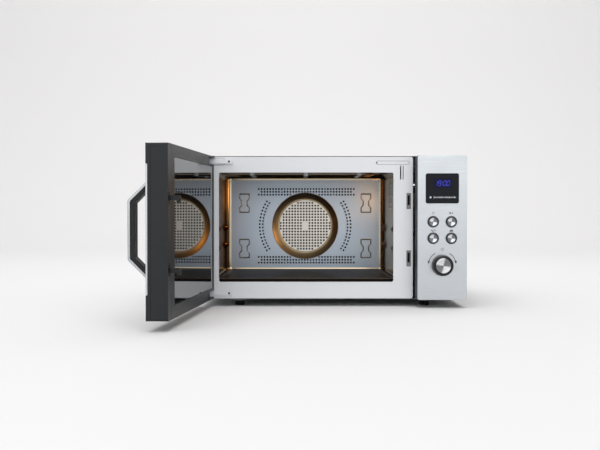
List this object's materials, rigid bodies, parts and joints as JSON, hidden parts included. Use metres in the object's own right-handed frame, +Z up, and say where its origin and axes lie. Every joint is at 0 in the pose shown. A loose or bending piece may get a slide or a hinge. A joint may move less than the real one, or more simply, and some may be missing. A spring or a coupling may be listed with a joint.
{
  "type": "microwave oven",
  "caption": "Countertop flatbed microwave oven with grill and convection, side-hinged door standing open, control panel with display, push buttons and a turning knob.",
  "frame": {"origin": "middle of the whole oven's base, door open, on the surface it stands on", "axes": "+Z up, -Y out of the oven's front, +X towards the control panel"},
  "size_m": [0.6026, 0.8638, 0.3],
  "materials": {
    "black_painted_steel": "satin black paint on steel",
    "silver_painted_steel": "pale silver paint, satin",
    "brushed_steel": "brushed",
    "stainless_steel": "rolled stainless, bright",
    "galvanised_steel": "galvanised sheet",
    "charcoal_plastic": "charcoal moulded, fine grain",
    "black_plastic": "black moulded",
    "black_rubber": "matt",
    "glass_ceramic": "polished dark glass-ceramic",
    "tinted_glass": "dark tinted, polished",
    "clear_glass": "clear",
    "green_board": "solder-masked laminate",
    "aluminium": "satin",
    "heater_sheath": "heat-darkened sheath",
    "white_plastic": "moulded",
    "spun_metal": "spun, bright"
  },
  "bodies": {
    "cabinet": {"outer_wrap": "black_painted_steel", "base_plate": "galvanised_steel", "rear_panel": "galvanised_steel", "front_plate": "silver_painted_steel", "foot_front_left": "black_rubber", "foot_front_right": "black_rubber", "foot_rear_left": "black_rubber", "foot_rear_right": "black_rubber", "cord_gland": "black_plastic", "hinge_upper": "galvanised_steel", "hinge_lower": "galvanised_steel", "cavity_liner": "stainless_steel", "cavity_back": "stainless_steel", "ceramic_floor": "glass_ceramic", "floor_seal": "black_rubber", "stirrer_well": "stainless_steel", "stirrer_motor": "galvanised_steel", "grill_heater": "heater_sheath", "heater_cover": "galvanised_steel", "thermostat": "white_plastic", "convection_housing": "galvanised_steel", "ring_heater": "heater_sheath", "convection_motor": "galvanised_steel", "waveguide": "stainless_steel", "magnetron": "galvanised_steel", "hv_transformer": "galvanised_steel", "hv_capacitor": "aluminium", "filter_board": "green_board", "fan_shroud": "black_plastic", "cooling_fan_motor": "galvanised_steel", "lamp_holder": "galvanised_steel", "cavity_lamp": "clear_glass", "interlock_bracket": "black_plastic", "primary_switch": "black_plastic", "secondary_switch": "black_plastic", "monitor_switch": "black_plastic", "fascia": "brushed_steel", "panel_housing": "charcoal_plastic", "display_window": "tinted_glass", "control_board": "green_board", "display_module": "black_plastic", "encoder": "galvanised_steel"},
    "door": {"door_frame": "charcoal_plastic", "inner_glass": "tinted_glass", "outer_glass": "tinted_glass", "mesh_screen": "black_painted_steel", "door_skin": "brushed_steel", "handle_bar": "aluminium", "handle_liner": "black_plastic", "latch_spring": "galvanised_steel"},
    "latch": {"latch_lever": "black_plastic"},
    "knob": {"knob": "spun_metal"},
    "convection_fan": {"convection_fan": "stainless_steel"},
    "cooling_fan": {"cooling_fan": "white_plastic"},
    "stirrer": {"stirrer": "aluminium"},
    "button_upper_left": {"button_upper_left": "spun_metal"},
    "button_upper_right": {"button_upper_right": "spun_metal"},
    "button_lower_left": {"button_lower_left": "spun_metal"},
    "button_lower_right": {"button_lower_right": "spun_metal"}
  },
  "joints": [
    {"name": "door_hinge", "type": "hinge", "parent": "cabinet", "child": "door", "pos_m": [-0.21074, -0.02077, 0.158], "axis": [0, 0, -1], "range_deg": [-95, 7]},
    {"name": "latch_slide", "type": "slide", "parent": "door", "child": "latch", "axis": [0, 0, 1], "range_m": [0, 0.004], "stiffness_N_per_m": 300, "springref_m": -0.002, "deforming": ["latch_spring"]},
    {"name": "button_upper_left_press", "type": "slide", "parent": "cabinet", "child": "button_upper_left", "axis": [0, 1, 0], "range_m": [0, 0.0015], "stiffness_N_per_m": 1200},
    {"name": "button_upper_right_press", "type": "slide", "parent": "cabinet", "child": "button_upper_right", "axis": [0, 1, 0], "range_m": [0, 0.0015], "stiffness_N_per_m": 1200},
    {"name": "button_lower_left_press", "type": "slide", "parent": "cabinet", "child": "button_lower_left", "axis": [0, 1, 0], "range_m": [0, 0.0015], "stiffness_N_per_m": 1200},
    {"name": "button_lower_right_press", "type": "slide", "parent": "cabinet", "child": "button_lower_right", "axis": [0, 1, 0], "range_m": [0, 0.0015], "stiffness_N_per_m": 1200},
    {"name": "knob_turn", "type": "hinge", "parent": "cabinet", "child": "knob", "pos_m": [0.25277, -0.05077, 0.0842], "axis": [0, -1, 0], "continuous": true},
    {"name": "convection_fan_spin", "type": "hinge", "parent": "cabinet", "child": "convection_fan", "pos_m": [-0.01374, 0.36423, 0.1555], "axis": [0, -1, 0], "continuous": true},
    {"name": "cooling_fan_spin", "type": "hinge", "parent": "cabinet", "child": "cooling_fan", "pos_m": [0.23602, 0.38423, 0.188], "axis": [0, -1, 0], "continuous": true},
    {"name": "stirrer_spin", "type": "hinge", "parent": "cabinet", "child": "stirrer", "pos_m": [-0.01374, 0.16973, 0.035], "axis": [0, 0, 1], "continuous": true}
  ]
}
